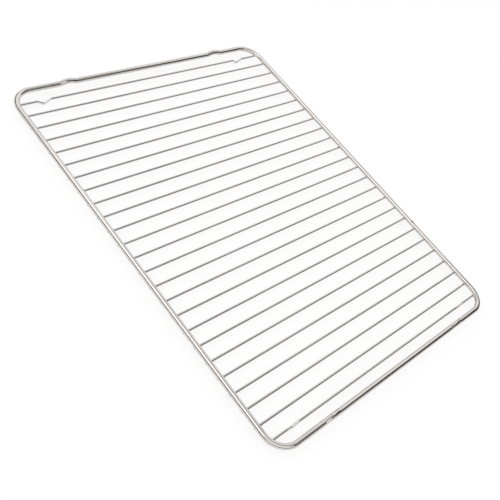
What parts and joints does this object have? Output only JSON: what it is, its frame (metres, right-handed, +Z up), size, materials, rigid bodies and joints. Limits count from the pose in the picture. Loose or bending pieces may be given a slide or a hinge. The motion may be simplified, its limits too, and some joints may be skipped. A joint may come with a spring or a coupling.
{
  "type": "oven shelf rack",
  "caption": "Rectangular chromed wire rack for an oven: thin wires welded under a bent thick-wire frame, with V-shaped feet and raised stops on the short sides.",
  "frame": {"origin": "under the middle of the rack, on the plane that its four feet stand on", "axes": "+X along the long sides (the width of the oven), +Y across them (into the oven), +Z up"},
  "size_m": [0.46, 0.363, 0.0145],
  "materials": {
    "chromed_steel": "bright chromed steel wire, polished, with drawn lines along the wire"
  },
  "bodies": {
    "root": {"outer_frame": "chromed_steel", "foot_wire_left": "chromed_steel", "cross_wire_01": "chromed_steel", "cross_wire_02": "chromed_steel", "cross_wire_03": "chromed_steel", "cross_wire_04": "chromed_steel", "cross_wire_05": "chromed_steel", "cross_wire_06": "chromed_steel", "cross_wire_07": "chromed_steel", "cross_wire_08": "chromed_steel", "cross_wire_09": "chromed_steel", "cross_wire_10": "chromed_steel", "cross_wire_11": "chromed_steel", "cross_wire_12": "chromed_steel", "cross_wire_13": "chromed_steel", "cross_wire_14": "chromed_steel", "cross_wire_15": "chromed_steel", "cross_wire_16": "chromed_steel", "cross_wire_17": "chromed_steel", "cross_wire_18": "chromed_steel", "cross_wire_19": "chromed_steel", "cross_wire_20": "chromed_steel", "cross_wire_21": "chromed_steel", "cross_wire_22": "chromed_steel", "cross_wire_23": "chromed_steel", "foot_wire_right": "chromed_steel"}
  },
  "joints": []
}
